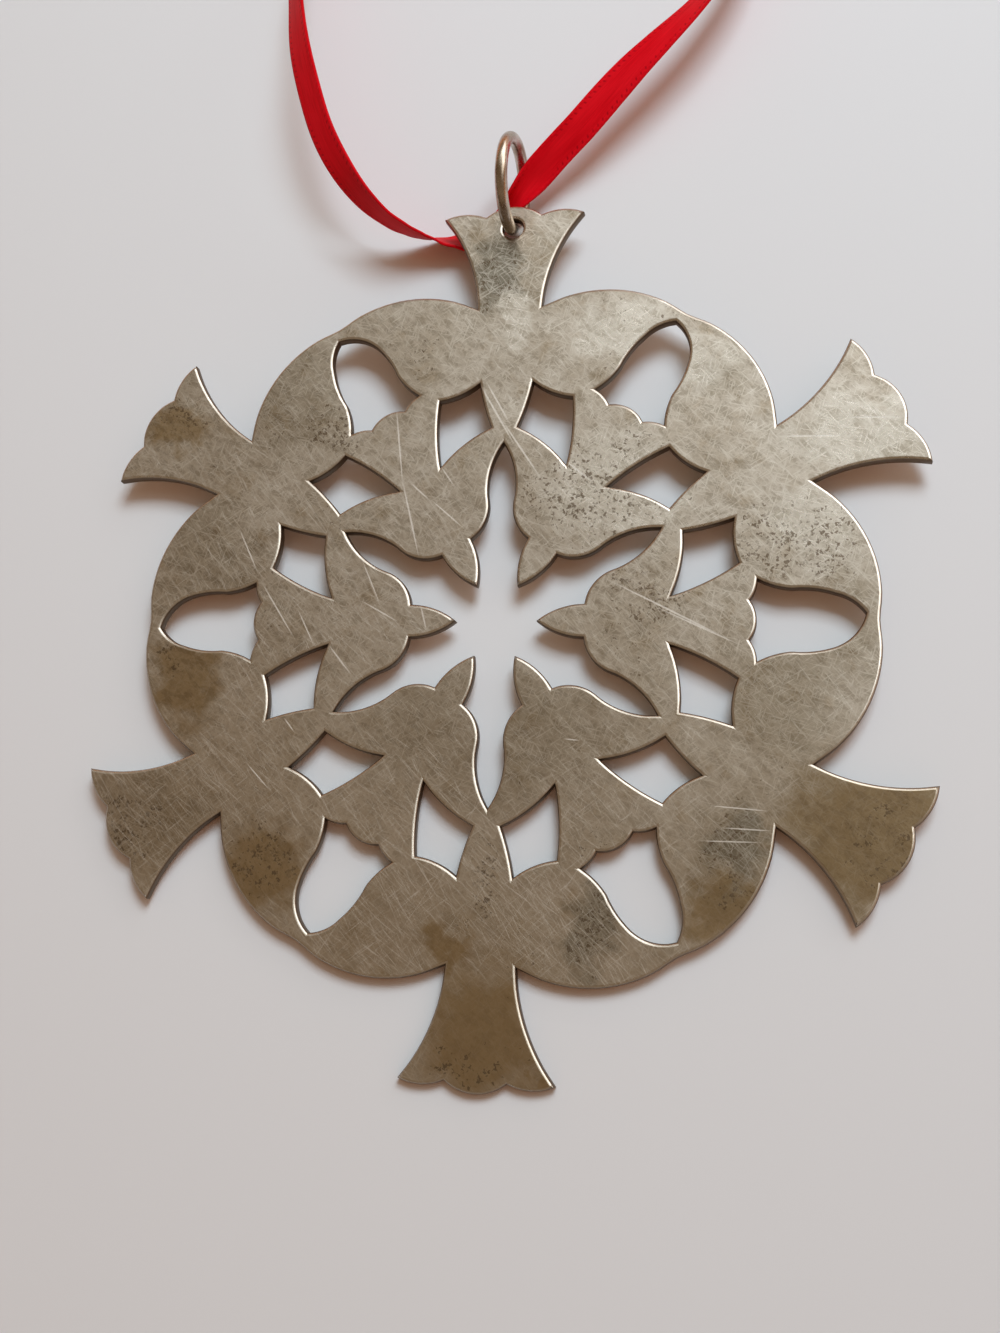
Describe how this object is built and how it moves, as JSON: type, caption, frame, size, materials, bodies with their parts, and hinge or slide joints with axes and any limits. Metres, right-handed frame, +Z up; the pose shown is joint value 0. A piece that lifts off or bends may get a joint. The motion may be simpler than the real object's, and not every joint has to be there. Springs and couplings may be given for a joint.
{
  "type": "hanging ornament",
  "caption": "Flat pierced silver ornament of doves in two rings round a star, with a jump ring through its top tail and a narrow red ribbon loop to hang it by.",
  "frame": {"origin": "on the floor, under the middle of the sheet and its ring together, as the ornament lies face up", "axes": "+Y along the ornament towards its hanging ring, +Z up out of its face, +X to the right seen from above"},
  "size_m": [0.0782, 0.1695, 0.0098],
  "materials": {
    "silver_sheet": "lightly tarnished silver sheet with fine scratches",
    "silver_wire": "polished silver wire",
    "red_ribbon": "satin weave"
  },
  "bodies": {
    "ornament": {"dove_plate": "silver_sheet", "ribbon": "red_ribbon", "ribbon_knot": "red_ribbon"},
    "ring": {"jump_ring": "silver_wire"}
  },
  "joints": [
    {"name": "ring_turn", "type": "hinge", "parent": "ornament", "child": "ring", "pos_m": [0.00007, 0.04037, 0.00489], "axis": [0.9962, -0.0522, 0.0698], "continuous": true}
  ]
}
